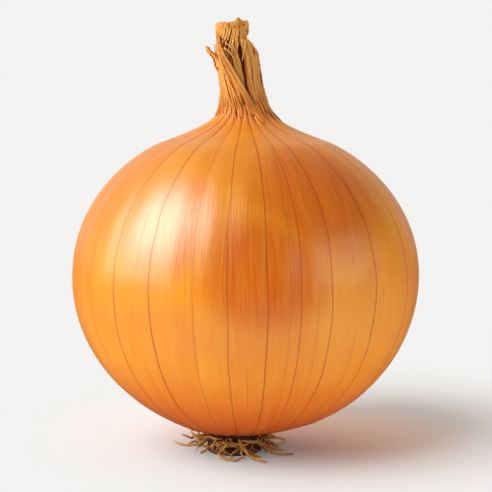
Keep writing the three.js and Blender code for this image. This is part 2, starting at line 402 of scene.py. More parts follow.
deselect()
bpy.ops.mesh.primitive_circle_add(
    vertices=CAGE_SIDES, radius=cage[0, 0], location=(cage[0, 2], 0, cage[0, 1])
)
skin = bpy.context.object
skin.name = "onion_skin"
bpy.ops.object.mode_set(mode="EDIT")
bpy.ops.mesh.select_mode(type="EDGE")
bpy.ops.mesh.select_all(action="SELECT")
for (radius, height, middle), (last_radius, last_height, last_middle) in zip(cage[1:], cage):
    rise = (middle - last_middle, 0, height - last_height)
    bpy.ops.mesh.extrude_edges_move(TRANSFORM_OT_translate={"value": rise})
    growth = radius / last_radius
    bpy.ops.transform.resize(value=(growth, growth, 1), center_override=(middle, 0, height))
bpy.ops.mesh.extrude_edges_move(TRANSFORM_OT_translate={"value": (0, 0, 0)})
bpy.ops.mesh.merge(type="CENTER")
bpy.ops.mesh.select_non_manifold()
bpy.ops.mesh.extrude_edges_move(TRANSFORM_OT_translate={"value": (0, 0, 0)})
bpy.ops.mesh.merge(type="CENTER")
bpy.ops.mesh.select_all(action="SELECT")
bpy.ops.mesh.normals_make_consistent(inside=False)
bpy.ops.object.mode_set(mode="OBJECT")
bpy.ops.object.transform_apply(location=True, rotation=True, scale=True)
print("cage:", len(skin.data.polygons), "faces")


# %% Make it smooth
def apply_modifier(piece, kind, **settings):
    """Adds a modifier to a piece and applies it."""
    deselect()
    bpy.context.view_layer.objects.active = piece
    piece.select_set(True)
    added = piece.modifiers.new(kind.lower(), kind)
    for setting, value in settings.items():
        setattr(added, setting, value)
    bpy.ops.object.modifier_apply(modifier=added.name)


apply_modifier(skin, "SUBSURF", levels=2, render_levels=2)
print("skin:", len(skin.data.polygons), "faces")

# %% [markdown]
# ## Veins
# Each scale of an onion carries veins that run from the roots to the neck, some 27 round a large
# bulb, and unevenly spaced. One number says where a point lies between them: the phase, which grows by
# one from each vein to the next. It is stored as the U of a UV map, with the way along the
# outline as V, so that the material can draw a vein wherever the phase is a whole number.

# %% Space the veins round the bulb
VEINS = 27
FRONT_VEINS = (-71, -57, -44.5, -30, -16, -5.4, 6.8, 17, 27, 44, 62.6, 73)
chance = np.random.default_rng(27)
gaps = chance.uniform(0.7, 1.3, VEINS - len(FRONT_VEINS) + 1)
behind = 360 + FRONT_VEINS[0] - FRONT_VEINS[-1]  # degrees that the front veins leave free
back_veins = FRONT_VEINS[-1] + np.cumsum(gaps)[:-1] / gaps.sum() * behind
vein_turns = np.radians([*FRONT_VEINS, *back_veins, 360 + FRONT_VEINS[0]])


def turn_and_reach(points, middle):
    """Azimuth from the front, and distance from the axis, of each point."""
    x = points[:, 0] - middle
    return np.arctan2(x, -points[:, 1]), np.hypot(x, points[:, 1])


def phase_of(turn):
    """Vein phase at an azimuth."""
    first = vein_turns[0]
    return np.interp((turn - first) % (2 * math.pi) + first, vein_turns, np.arange(VEINS + 1))


print("veins at the front:", FRONT_VEINS)


# %% Store the phase on the skin
def get_points(piece):
    """The vertices of a piece, in millimetres."""
    flat = np.empty(len(piece.data.vertices) * 3)
    piece.data.vertices.foreach_get("co", flat)
    return flat.reshape(-1, 3) / MM


def set_points(piece, points):
    """Moves the vertices of a piece to points, in millimetres."""
    piece.data.vertices.foreach_set("co", (points * MM).ravel())
    piece.data.update()


def store_map(piece, name, across, along, round_trip):
    """A UV map from two values a vertex. round_trip is what across gains in one turn."""
    corners, starts = np.empty(len(piece.data.loops), int), np.empty(len(piece.data.polygons), int)
    piece.data.loops.foreach_get("vertex_index", corners)
    piece.data.polygons.foreach_get("loop_start", starts)
    sizes = np.diff([*starts, len(corners)])
    u = across[corners]
    low, high = np.minimum.reduceat(u, starts), np.maximum.reduceat(u, starts)
    crossing = np.repeat(high - low > round_trip / 2, sizes)  # on a face that spans the seam
    behind = crossing & (u < np.repeat(low, sizes) + round_trip / 2)
    u = np.where(behind, u + round_trip, u)
    layer = piece.data.uv_layers.new(name=name)
    layer.data.foreach_set("uv", np.column_stack([u, along[corners]]).ravel())


points = get_points(skin)
turn, reach = turn_and_reach(points, skin_middle(points[:, 2]))
phase = phase_of(turn)
way_up = np.interp(points[:, 2], outline[:, 1], arc)
store_map(skin, "grown", phase, way_up / 10, VEINS)
print(f"phase runs from {phase.min():.2f} to {phase.max():.2f}")

# %% [markdown]
# ## The folds of the neck
# As the leaf bases dry, they shrink into strands that twist round each other. A bundle of strands is
# a height field: each strand is a rounded ridge that wanders a little as it climbs, and where two
# meet, the taller one shows. Between them the relief falls to a sharp crease.


# %% Strands as relief
def strand_relief(turn, height, strands, stray, seed):
    """Relief from 0 to 1 of strands that run up round an axis. height goes from 0 to 1."""
    dice = np.random.default_rng(seed)
    spacing = 2 * math.pi / strands
    relief = np.zeros_like(turn)
    for k in range(strands):
        waves = [(dice.uniform(0.4, 2.2), dice.uniform(0, 6.3), dice.uniform(0.4, 1)) for _ in range(2)]
        drift = sum(size * np.sin(2 * math.pi * rate * height + start) for rate, start, size in waves)
        middle = spacing * (k + dice.uniform(-0.35, 0.35) + stray * drift)
        half = spacing * dice.uniform(0.6, 1.1)
        off = (turn - middle + math.pi) % (2 * math.pi) - math.pi
        tall = dice.uniform(0.55, 1) * (1 + 0.15 * np.sin(9 * height + dice.uniform(0, 6.3)))
        relief = np.maximum(relief, tall * (1 - (off / half) ** 2))
    return np.clip(relief, 0, 1)


# %% Sculpt the skin
NECK_TWIST = math.radians(-34)  # how far the strands turn on their way up the stalk
FOLD_DEPTH = 1.0
FINE_FOLD_DEPTH = 0.35
DART_DEPTH, FINE_DART_DEPTH = 0.35, 0.25  # the same, where the neck begins
ROOM_FOR_LEAVES = 0.8  # how far the stalk draws in under the leaf ends
TOP_ROUNDING = 1.7  # and how much further at its top
LUMP = 0.25  # how far the globe strays from round
CUSHION = 0.07  # swelling of the skin between two veins


def lumps(points, size, seed):
    """Smooth noise from -1 to 1 at each point, with bumps about size millimetres across."""
    shift = Vector((seed, 2.7 * seed, -1.3 * seed))
    return np.array([noise.noise(Vector(p) / size + shift) for p in points])


z = points[:, 2]
height = (z - SHOULDER_Z) / (STALK_TOP - SHOULDER_Z)
dart_share = step(z, SHOULDER_Z - 3, SHOULDER_Z + 8)  # furrows along the veins, below the neck
fold_share = step(z, SHOULDER_Z + 3, SHOULDER_Z + 13)  # and the folds of the stalk
coarse = strand_relief(turn - NECK_TWIST * height, height, 24, 0.35, seed=3)
fine = strand_relief(turn - 0.7 * NECK_TWIST * height, height, 70, 0.5, seed=4)
between_veins = 1 - (2 * abs((phase % 1) - 0.5)) ** 3
dart_relief = 0.7 * between_veins + 0.3 * fine
relief = np.clip((1 - fold_share) * dart_relief + fold_share * (0.7 * coarse + 0.4 * fine), 0, 1)
base_share = 1 - step(reach, 9, 24)
base_share[z > EQUATOR_Z] = 0
swell = CUSHION * (1 + 3 * base_share) * np.cos(2 * math.pi * (phase + 0.5)) * (1 - fold_share)
globe = LUMP * lumps(points, 26, 5) * (1 - dart_share) * step(z, SEAT_Z, SEAT_Z + 12)
fold = fold_share * (FOLD_DEPTH * (coarse - 0.8) + FINE_FOLD_DEPTH * (fine - 0.5))
fold -= ROOM_FOR_LEAVES * step(z, 80, 88) + TOP_ROUNDING * step(z, STALK_TOP - 2.5, STALK_TOP)
dart = DART_DEPTH * (between_veins - 0.8) + FINE_DART_DEPTH * (fine - 0.6)
fold += dart_share * (1 - fold_share) * dart
grown = np.where(reach > 2, (reach + swell + globe + fold) / np.maximum(reach, 2), 1)
middle = skin_middle(z)
points[:, 0] = middle + (points[:, 0] - middle) * grown
points[:, 1] *= grown
set_points(skin, points)
print(f"folds from {fold.min():.2f} to {fold.max():.2f} mm")


# %% Store the relief for the material
def store_value(piece, name, values):
    """One number a vertex, which a material can read by its name."""
    attribute = piece.data.attributes.new(name, "FLOAT", "POINT")
    attribute.data.foreach_set("value", values.astype(np.float32))


# The gap between the leaf ends is stored as low relief, so that the material paints it dark, as shade in
# the recess.
gap_shade = step(np.cos(turn - math.radians(-6)), 0.72, 0.86) * step(z, 83, 87)  # between the leaf ends
shown = dart_share * (0.5 + 0.5 * fold_share)
store_value(skin, "relief", (1 - shown * (1 - relief)) * (1 - 0.92 * gap_shade))
for polygon in skin.data.polygons:
    polygon.use_smooth = True
print("in the gap between the leaf ends:", (gap_shade > 0.5).sum(), "vertices")

# %% [markdown]
# ## Fibres, as a node group
# Skin, dry leaf and root all show the same fine lengthwise fibres. The effect is built once, as a
# group: noise stretched along the way that the piece grew. It gives a value for colour and for bump.


# %% The fibre group
def make_fibres():
    """The group: noise that is squeezed across the grain, with its contrast raised."""
    group = bpy.data.node_groups.new("grown_fibres", "ShaderNodeTree")
    for name in ("Across", "Along", "Fineness"):
        group.interface.new_socket(name, in_out="INPUT", socket_type="NodeSocketFloat")
    group.interface.new_socket("Fibre", in_out="OUTPUT", socket_type="NodeSocketFloat")
    entry = group.nodes.new("NodeGroupInput").outputs
    across = calc(group, "MULTIPLY", entry["Across"], entry["Fineness"])
    place = add_node(group, "CombineXYZ", {0: across, 1: entry["Along"]}).outputs[0]
    streaks = cloud(group, place, 1.0, detail=3.0, rough=0.6)
    out = group.nodes.new("NodeGroupOutput")
    group.links.new(ramp(group, streaks, 0.25, 0.75), out.inputs["Fibre"])
    return group


fibre_group = make_fibres()


def fibres(tree, across, along, fineness):
    """Lengthwise fibres from 0 to 1, with about fineness of them to one unit across."""
    inputs = {"Across": across, "Along": along, "Fineness": fineness}
    return add_node(tree, "Group", inputs, node_tree=fibre_group).outputs[0]


# %% [markdown]
# ## The papery skin's finish
# Brown onion skin is a satin, golden brown film. Its colour drifts between honey and copper in soft
# clouds, some of which are painted shade, fine fibres run lengthwise, and the veins are thin lines of
# a deeper red brown, with fainter ones between them. Where it meets the roots it is painted dark
# brown, as shade. Towards the neck it bleaches to straw, with dark creases that are partly its own
# colour and partly painted shade.


# %% Begin and end a finish
def new_finish(name):
    """A new material with its tree and shader, and three sockets that say where a point is: its
    place, its place on the map along which the piece grew, and its relief, which also carries painted
    shade."""
    material = bpy.data.materials.new(name)
    material.use_nodes = True
    tree = material.node_tree
    tree.nodes.clear()
    shader = add_node(tree, "BsdfPrincipled")
    add_node(tree, "OutputMaterial", {"Surface": shader.outputs[0]})
    place = add_node(tree, "TexCoord").outputs["Object"]
    grown = add_node(tree, "UVMap", uv_map="grown").outputs[0]
    relief = add_node(tree, "Attribute", attribute_name="relief").outputs["Fac"]
    return material, tree, shader, place, grown, relief


def fill_finish(tree, shader, tone, rough, height, strength):
    """Links a finish to its shader. Its bumps are up to a tenth of a millimetre high."""
    bump = add_node(tree, "Bump", {"Strength": strength, "Distance": 0.1 * MM, "Height": height})
    inputs = {"Base Color": tone, "Roughness": rough, "Normal": bump.outputs[0]}
    fill_sockets(tree, shader, inputs)


# %% Where the veins show
skin_paper, tree, shader, place, grown_map, relief_and_shade = new_finish("papery_skin")
x_y_z, u_v = split(tree, place), split(tree, grown_map)
wobble = calc(tree, "MULTIPLY_ADD", cloud(tree, place, 60.0), 0.14, -0.07)
phase_here = calc(tree, "ADD", u_v[0], wobble)
squares = [calc(tree, "POWER", x_y_z[axis], 2.0) for axis in (0, 1)]
off_axis = calc(tree, "SQRT", calc(tree, "ADD", *squares))
sector = calc(tree, "MULTIPLY", off_axis, 2 * math.pi / VEINS / MM)  # from vein to vein


def line_where(value, fraction, thin, wide):
    """1 on the line where a value has this fraction, fading from thin to wide, in millimetres."""
    off = calc(tree, "ABSOLUTE", calc(tree, "SUBTRACT", calc(tree, "FRACT", value), fraction))
    return ramp(tree, calc(tree, "MULTIPLY", off, sector), thin, wide, 1.0, 0.0)


def throw(value, low, high):
    """A number from low to high, thrown once for each value."""
    inputs = {"W": value}
    thrown = add_node(tree, "TexWhiteNoise", inputs, noise_dimensions="1D").outputs["Value"]
    return calc(tree, "MULTIPLY_ADD", thrown, high - low, low)


vein = line_where(calc(tree, "ADD", phase_here, 0.5), 0.5, 0.04, 0.28)
vein = calc(tree, "MULTIPLY", vein, throw(calc(tree, "ROUND", phase_here), 0.5, 1.0))
between = throw(calc(tree, "FLOOR", phase_here), 0.3, 0.7)
thin_vein = line_where(phase_here, between, 0.03, 0.22)
here_and_there = ramp(tree, cloud(tree, place, 34.0, 1.0), 0.46, 0.62, 0.0, 0.4)
vein = calc(tree, "MAXIMUM", vein, calc(tree, "MULTIPLY", thin_vein, here_and_there))
print("veins:", len(tree.nodes), "nodes so far")

# %% Skin colour
HONEY = srgb(246, 153, 26)
COPPER = srgb(212, 92, 4)
RUST = srgb(222, 66, 0)
PALE = srgb(252, 172, 64)
VEIN_BROWN = srgb(176, 64, 0)
STRAW = srgb(255, 206, 116)
OCHRE = srgb(236, 140, 32)
# Dark brown of creases and hollows, partly the dry leaf's own colour and partly painted shade.
CREASE_SHADE = srgb(130, 48, 2)
# Painted shade where the skin meets the roots.
SEAT_SHADE = srgb(112, 34, 0)
# Where the skin is darker: partly its own deeper colour and partly painted shade where little light
# or reflection falls; the last one is painted darker under the highlight. Place and reach in
# millimetres, and how deep.
DEEP_AND_SHADED_CLOUDS = [((4, -40, 47), 20, 1.0), ((17, -29, 65), 25, 1.0), ((-17, -34, 57), 18, 0.65)]


def straw_colour(tree, streaks, relief_and_shade):
    """Dry leaf: straw, darker in its streaks, and brown where its relief is low: in its creases, partly its
    own colour, and on the flanks of strands and in recesses, as painted shade.
    """
    tone = blend_colours(tree, streaks, OCHRE, STRAW)
    tone = blend_colours(tree, ramp(tree, relief_and_shade, 0.35, 0.8), OCHRE, tone)
    return blend_colours(tree, ramp(tree, relief_and_shade, 0.05, 0.45), CREASE_SHADE, tone)


streaks = fibres(tree, u_v[0], u_v[1], 16.0)
bands = fibres(tree, u_v[0], calc(tree, "MULTIPLY", u_v[1], 0.3), 3.0)
patches_and_shade = ramp(tree, cloud(tree, place, 45.0, 3.0), 0.3, 0.7, 0.08, 0.5)
# Painted shade, in part: the clouds darken the skin where little light or reflection falls, and under the
# highlight.
for centre, size, how_deep in DEEP_AND_SHADED_CLOUDS:
    apart = distance_from(tree, place, centre)
    shade_cover = ramp(tree, apart, 0.35 * size * MM, size * MM, how_deep, 0.0)
    patches_and_shade = calc(tree, "MAXIMUM", patches_and_shade, shade_cover)
# Redder towards the bottom: partly the skin's own colour and partly painted shade near the floor.
low_share = ramp(tree, x_y_z[2], 0.004, 0.028, 1.0, 0.0)
fleck_place = add_node(tree, "Mapping", {"Vector": grown_map, "Scale": (7.0, 1.6, 1.0)}).outputs[0]
flecks = ramp(tree, cloud(tree, fleck_place, 1.0), 0.66, 0.80, 0.0, 0.6)
# Painted shade: dark brown where the skin meets the roots.
painted_seat_shade = ramp(tree, x_y_z[2], 0.0046, 0.0090, 0.8, 0.0)
# Painted shade, in part: folds, darts and the gap between the leaf ends are darkened where their relief is
# low.
groove_shade = ramp(tree, relief_and_shade, 0.25, 0.85, 0.85, 0.0)
ragged = calc(tree, "MULTIPLY_ADD", cloud(tree, place, 300.0), 0.006, -0.003)
neck_share = ramp(tree, calc(tree, "ADD", x_y_z[2], ragged), 0.079, 0.090)

tone = blend_colours(tree, patches_and_shade, HONEY, COPPER)
for share, colour in (
    (low_share, RUST),
    (flecks, RUST),
    (calc(tree, "MULTIPLY", streaks, 0.22), PALE),
    (calc(tree, "MULTIPLY", bands, 0.18), PALE),
    (calc(tree, "MULTIPLY", vein, 0.85), VEIN_BROWN),
    (painted_seat_shade, SEAT_SHADE),
    (groove_shade, CREASE_SHADE),
    (neck_share, straw_colour(tree, streaks, relief_and_shade)),
):
    tone = blend_colours(tree, share, tone, colour)
print("veins and colour:", len(tree.nodes), "nodes so far")

# %% Skin gloss
dull_share = ramp(tree, x_y_z[2], 0.074, 0.084, 0.0, 0.35)
rough = calc(tree, "ADD", calc(tree, "MULTIPLY_ADD", streaks, 0.08, 0.27), dull_share)
rough = calc(tree, "MULTIPLY_ADD", vein, 0.12, rough)
height_map = calc(tree, "MULTIPLY_ADD", vein, -0.3, calc(tree, "MULTIPLY", streaks, 0.5))
fill_finish(tree, shader, tone, rough, height_map, 0.35)
shader.inputs["Specular IOR Level"].default_value = 0.7  # waxy: mirrors more than paper does
skin.data.materials.append(skin_paper)
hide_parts("bulb")
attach(skin, "root")
print("skin material:", len(tree.nodes), "nodes")

# %% [markdown]
# ## A strand, to be bent
# Roots, coarse fibres and loose threads are all strands: thin, round, tapered and a little knotty.
# One straight strand is modelled with operators, a small circle extruded step by step and closed at
# both ends. Each root or fibre is then a copy of it, bent along its own path.

# %% One straight strand
STRAND_SIDES, STRAND_STEPS = 8, 28
KNOTS = 0.11  # how far a strand swells and thins, as a share of its radius
deselect()
bpy.ops.mesh.primitive_circle_add(vertices=STRAND_SIDES, radius=MM, fill_type="NGON")
straight = bpy.context.object
straight.name = "straight_strand"
bpy.ops.object.mode_set(mode="EDIT")
bpy.ops.mesh.select_mode(type="FACE")
bpy.ops.mesh.select_all(action="SELECT")
for _ in range(STRAND_STEPS):
    bpy.ops.mesh.extrude_region_move(TRANSFORM_OT_translate={"value": (0, 0, MM)})
bpy.ops.mesh.select_all(action="SELECT")
bpy.ops.mesh.normals_make_consistent(inside=False)
bpy.ops.object.mode_set(mode="OBJECT")
strand_cage = get_points(straight)
strand_turn = np.arctan2(strand_cage[:, 1], strand_cage[:, 0])
strand_row = np.rint(strand_cage[:, 2]).astype(int)
print("strand:", len(strand_cage), "vertices")


# %% Bend a copy along a path
def even_path(points, count):
    """count + 1 points, evenly spaced on a smooth curve through the given ones."""
    dense = smooth_through(np.asarray(points, float), 12)
    way = np.concatenate([[0], np.cumsum(np.linalg.norm(np.diff(dense, axis=0), axis=1))])
    stops = np.linspace(0, way[-1], count + 1)
    return np.column_stack([np.interp(stops, way, dense[:, k]) for k in range(3)])


def unit(rows):
    """Rows scaled to a length of 1."""
    return rows / np.linalg.norm(rows, axis=1)[:, None]


def bent_strand(path, thickness, taper, seed, axis_x=None, flat=1.0, lit_side=0.55):
    """A copy of the straight strand along a path, in millimetres. Its lit side looks up, or away
    from an upright axis at axis_x; its relief falls on its flanks and underside, which the material
    paints as shade. flat is its depth as a share of its width, and lit_side the relief on its flanks."""
    dice = np.random.default_rng(seed)
    spine = even_path(path, STRAND_STEPS)
    heading = unit(np.gradient(spine, axis=0))
    away = np.tile([1e-4, 0.0, 1.0], (len(spine), 1))
    if axis_x is not None:
        away = np.column_stack([spine[:, 0] - axis_x, spine[:, 1], 0 * spine[:, 2]])
    away = unit(away - heading * (away * heading).sum(axis=1)[:, None])
    side = np.cross(heading, away)
    share = strand_row / STRAND_STEPS
    radius = thickness / 2 * (1 - taper * share**1.4) * step(share, -0.06, 0.12)
    for rate, around in ((3.1, 0), (7.3, 1), (12.7, 2)):
        wave = 2 * math.pi * rate * share + around * strand_turn + dice.uniform(0, 6.3)
        radius = radius * (1 + KNOTS * np.sin(wave))
    ends = np.minimum(share, 1 - share) * STRAND_STEPS
    radius = radius * np.where(ends < 0.5, 0.45, 1)
    spots = spine[strand_row]
    spots = spots + side[strand_row] * (radius * np.cos(strand_turn))[:, None]
    spots = spots + away[strand_row] * (flat * radius * np.sin(strand_turn))[:, None]
    spots[:, 2] = np.maximum(spots[:, 2], 0.02)
    piece = bpy.data.objects.new("strand", straight.data.copy())
    bpy.context.scene.collection.objects.link(piece)
    set_points(piece, spots)
    length = np.linalg.norm(np.diff(spine, axis=0), axis=1).sum()
    girth = math.pi * thickness
    across = (strand_turn + math.pi) / (2 * math.pi) * girth + dice.uniform(0, 50)
    store_map(piece, "grown", across, share * length / 10, girth)
    # The flanks and underside get low relief, which the materials paint dark, as shade.
    store_value(piece, "relief", np.clip(lit_side + (1.05 - lit_side) * np.sin(strand_turn), 0, 1))
    return piece


def join(pieces, name):
    """Joins pieces into the first."""
    deselect()
    for piece in pieces:
        piece.select_set(True)
    bpy.context.view_layer.objects.active = pieces[0]
    if len(pieces) > 1:
        bpy.ops.object.join()
    pieces[0].name = name
    return pieces[0]


def finish_piece(piece, node, material):
    """Smooths a piece, gives it its finish, and puts it in its CAD node's place."""
    for polygon in piece.data.polygons:
        polygon.use_smooth = True
    piece.data.materials.append(material)
    if node:
        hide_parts(node)
    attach(piece, "root")


# %% [markdown]
# ## Dry leaf ends
# The outer leaves end on the neck as strips of stiff, ribbed paper. Each strip is a grid, wrapped
# round the stalk: its foot lies under the skin, its ribs run lengthwise, and its tip is torn.
# Solidify gives it a paper's thickness. Coarser fibres lie on it, and run on below its foot
# until they sink into the skin.

# %% Dry leaf material
LEAF_FOOT = srgb(238, 124, 14)
LEAF_SPOT = srgb(200, 104, 24)
dry_leaf, tree, shader, place, grown_map, relief_and_shade = new_finish("dry_leaf")
u_v = split(tree, grown_map)
streaks = fibres(tree, u_v[0], u_v[1], 5.0)
tone = straw_colour(tree, streaks, relief_and_shade)
low = ramp(tree, split(tree, place)[2], 0.078, 0.088, 0.85, 0.0)
tone = blend_colours(tree, low, tone, blend_colours(tree, relief_and_shade, CREASE_SHADE, LEAF_FOOT))
long_place = add_node(tree, "Mapping", {"Vector": place, "Scale": (1.0, 1.0, 0.25)}).outputs[0]
spots = ramp(tree, cloud(tree, long_place, 700.0), 0.5, 0.8, 0.0, 0.55)
tone = blend_colours(tree, spots, tone, LEAF_SPOT)
fill_finish(tree, shader, tone, calc(tree, "MULTIPLY_ADD", streaks, -0.15, 0.7), streaks, 0.6)
print("dry leaf material:", len(tree.nodes), "nodes")


# %% A place on a leaf end
FOOT_DEPTH = 0.9  # how far the foot of a leaf end lies under the skin


def leaf_ribs(across, along, ribs, seed):
    """Relief from 0 to 1 of the ribs of a strip. across and along go from 0 to 1."""
    dice = np.random.default_rng(seed)
    relief = np.zeros_like(across)
    for k in range(ribs + 1):
        drift = 0.25 * np.sin(2 * math.pi * dice.uniform(0.3, 1.2) * along + dice.uniform(0, 6.3))
        middle = (k + dice.uniform(-0.3, 0.3) + drift) / ribs
        half = dice.uniform(0.6, 1.0) / ribs
        relief = np.maximum(relief, dice.uniform(0.5, 1) * (1 - ((across - middle) / half) ** 2))
    return np.clip(relief, 0, 1)


def leaf_place(leaf, across, along, above):
    """The point of a leaf end at across and along, both 0 to 1, and above it in millimetres."""
    (foot_turn, foot_z), (tip_turn, tip_z) = leaf["foot"], leaf["tip"]
    z = foot_z + (tip_z - foot_z) * along
    z = z - leaf.get("droop", 0) * np.maximum(across - 0.4, 0) ** 2 * np.maximum(along, 0) ** 2
    wide = leaf["width"][0] + (leaf["width"][1] - leaf["width"][0]) * step(along, 0.2, 1)
    stalk = skin_radius(z)
    rise = -FOOT_DEPTH + (leaf["lift"] + FOOT_DEPTH) * step(along, 0, 0.3)
    rise = rise + leaf.get("lean", 0) * step(along, leaf.get("lean_from", 0.5), 1)
    turn = np.radians(foot_turn + (tip_turn - foot_turn) * along)
    turn = turn + (across - 0.5) * wide / np.minimum(stalk, 6)
    reach = stalk + rise + above
    return np.column_stack([skin_middle(z) + reach * np.sin(turn), -reach * np.cos(turn), z])


# %% A leaf end and its fibres
def make_leaf_end(name, leaf, seed):
    """A strip of dry leaf on the neck, with the fibres that lie on it."""
    dice = np.random.default_rng(seed)
    ribs = leaf["ribs"]
    deselect()
    bpy.ops.mesh.primitive_grid_add(x_subdivisions=6 * ribs, y_subdivisions=60, size=1)
    piece = bpy.context.object
    grid = get_points(piece) * MM
    across, along = grid[:, 0] + 0.5, grid[:, 1] + 0.5
    relief = leaf_ribs(across, along, ribs, seed)
    length = leaf["tip"][1] - leaf["foot"][1]
    torn = 0.8 / length * lumps(np.column_stack([across * 9, 0 * across, 0 * across]), 1.0, seed)
    edge = 1 - (2 * abs(across - 0.5)) ** 6
    set_points(piece, leaf_place(leaf, across, along + torn * along**6, (0.1 + 0.6 * relief) * edge))
    store_map(piece, "grown", across * leaf["width"][0], along * length / 10, 1e9)
    store_value(piece, "relief", np.clip(relief**1.4 * edge, 0, 1))
    apply_modifier(piece, "SOLIDIFY", thickness=0.22 * MM, offset=-1)
    parts = [piece]
    for index in range(leaf["fibres"]):
        start, end = dice.uniform(leaf.get("root", -0.13), 0.10), dice.uniform(0.75, 1.04)
        along = np.linspace(start, end, 7)
        side = (index + dice.uniform(0, 1)) / leaf["fibres"]
        across = side + 0.10 * np.sin(3 * along * dice.uniform(0.6, 1.6) + dice.uniform(0, 6.3))
        above = dice.uniform(0.25, 0.75) + 0.8 * step(-along, -0.3, 0.25)
        line = leaf_place(leaf, across, along, above)
        line[0] = leaf_place(leaf, across[:1], along[:1], above[:1] - 0.5)[0]
        thickness = dice.uniform(*leaf.get("thick", (0.3, 0.8)))
        axis_x = np.mean(skin_middle(line[:, 2]))
        fibre_seed, lit_side = seed * 100 + index, leaf.get("lit", 0.12)
        parts.append(bent_strand(line, thickness, 0.45, fibre_seed, axis_x, flat=0.7, lit_side=lit_side))
    return join(parts, name)


# %% All the leaf ends
# foot and tip are an azimuth in degrees and a height, widths are at the foot and the tip, and lift and
# lean are distances from the stalk, in millimetres. droop is how far one corner of the tip hangs,
# root is the place along the leaf where its fibres can start, and lit is the relief of their flanks,
# which the material paints as shade where it is low.
LEAF_ENDS = {
    "neck_wrap_leaf": dict(
        node="wrap_leaf", foot=(26, 79), tip=(-50, 97), width=(1.5, 1.2), lift=0.85,
        ribs=2, fibres=4, thick=(0.5, 0.8), lit=0.7,
    ),
    "neck_leaf_front": dict(
        node="sheath_front", foot=(-8, 79.5), tip=(-54, 96.4), width=(5.0, 2.8), lift=0.2,
        ribs=5, fibres=22, lean=-0.4,
    ),
    "neck_leaf_right": dict(
        node="sheath_right", foot=(58, 79.5), tip=(56, 99.6), width=(6.2, 5.8), lift=-0.35,
        ribs=8, fibres=20, thick=(0.6, 1.15), root=-0.08, lean=-2.8, lean_from=0.76, droop=6,
    ),
    "neck_leaf_left": dict(
        node="sheath_left", foot=(-66, 79.5), tip=(-92, 96), width=(6.2, 3.6), lift=-0.15,
        ribs=6, fibres=24, root=-0.08, lean=-0.5,
    ),
    "neck_leaf_back_right": dict(
        node="sheath_back_right", foot=(112, 79.5), tip=(112, 95.6), width=(5.6, 4), lift=-0.2,
        ribs=6, fibres=12, lean=-2.0, lean_from=0.7,
    ),
    "neck_leaf_back": dict(
        node="sheath_back", foot=(166, 79.5), tip=(172, 98), width=(5.6, 4), lift=0.3,
        ribs=6, fibres=12, lean=-0.6,
    ),
    "neck_leaf_back_left": dict(
        node="sheath_back_left", foot=(226, 79.5), tip=(222, 96), width=(5.6, 4), lift=0.2,
        ribs=6, fibres=12,
    ),
    "neck_flap": dict(
        node=None, foot=(-60, 88.6), tip=(-82, 94.8), width=(4.4, 2.0), lift=0.3,
        ribs=4, fibres=3, lean=1.5,
    ),
    "neck_torn_edge": dict(
        node=None, foot=(78, 82.8), tip=(84, 88.2), width=(2.6, 1.6), lift=0.0,
        ribs=2, fibres=1,
    ),
}
for seed, (name, leaf) in enumerate(LEAF_ENDS.items(), start=11):
    made = make_leaf_end(name, leaf, seed)
    finish_piece(made, leaf["node"], dry_leaf)
    print(name, len(made.data.polygons), "faces")

# %% [markdown]
# ## The torn cup
# Above the stalk, the innermost leaves were torn off in a crumpled collar, like the mouth of a paper
# bag: gathered at its foot, and creased above, with a ragged rim. It is a circle extruded upwards,
# three times, each collar smaller and lower than the last. Its fibres fray at its foot.

# %% The torn cup
cup_low, cup_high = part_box("torn_leaf_cup")
cup_low, cup_high = cup_low / MM, cup_high / MM
CUP_MIDDLE = (cup_low + cup_high) / 2
CUP_RADIUS = (cup_high.x - cup_low.x) / 2


def make_collar(rim_z, share, seed):
    """A crumpled collar of dry leaf, from below the top of the stalk up to rim_z."""
    foot_z, rows, sides = cup_low.z - 1.6, 26, 160
    deselect()
    bpy.ops.mesh.primitive_circle_add(vertices=sides, radius=MM, location=(0, 0, 0))
    piece = bpy.context.object
    bpy.ops.object.mode_set(mode="EDIT")
    bpy.ops.mesh.select_mode(type="EDGE")
    bpy.ops.mesh.select_all(action="SELECT")
    for _ in range(rows):
        bpy.ops.mesh.extrude_edges_move(TRANSFORM_OT_translate={"value": (0, 0, MM / rows)})
    bpy.ops.object.mode_set(mode="OBJECT")
    tube = get_points(piece)
    turn, up = np.arctan2(tube[:, 0], -tube[:, 1]), tube[:, 2]
    relief = strand_relief(turn + 0.3 * up, up, 34, 0.5, seed)
    broad = strand_relief(turn - 0.3 * up, up, 11, 0.5, seed + 50)
    rag = lumps(np.column_stack([4 * np.sin(turn), 4 * np.cos(turn), 0 * turn]), 0.8, seed)
    peak = 0.9 * np.exp(-(((turn - 0.38) / 0.16) ** 2)) * share
    top = rim_z - 0.9 + 0.3 * rag + peak + 0.25 * np.sin(turn)
    z = foot_z + (top - foot_z) * up
    waist = 0.87 + 0.13 * step(up, 0.3, 0.55) - 0.06 * step(up, 0.85, 1)
    reach = CUP_RADIUS * share * waist + 0.35 * (relief - 0.7) + 0.3 * (broad - 0.6)
    x = skin_middle(z) + CUP_MIDDLE.x - skin_middle(cup_high.z) + reach * np.sin(turn)
    y = -0.82 * reach * np.cos(turn)
    set_points(piece, np.column_stack([x, y, z]))
    store_map(piece, "grown", (turn + math.pi) * 4, up / 2, 8 * math.pi)
    store_value(piece, "relief", np.clip(0.7 * relief + 0.35 * broad, 0, 1))
    apply_modifier(piece, "SOLIDIFY", thickness=0.25 * MM, offset=-1)
    return piece


cup_parts = [
    make_collar(cup_high.z, 1.0, 31),
    make_collar(cup_high.z - 0.9, 0.68, 32),
    make_collar(cup_high.z - 1.6, 0.36, 33),
]


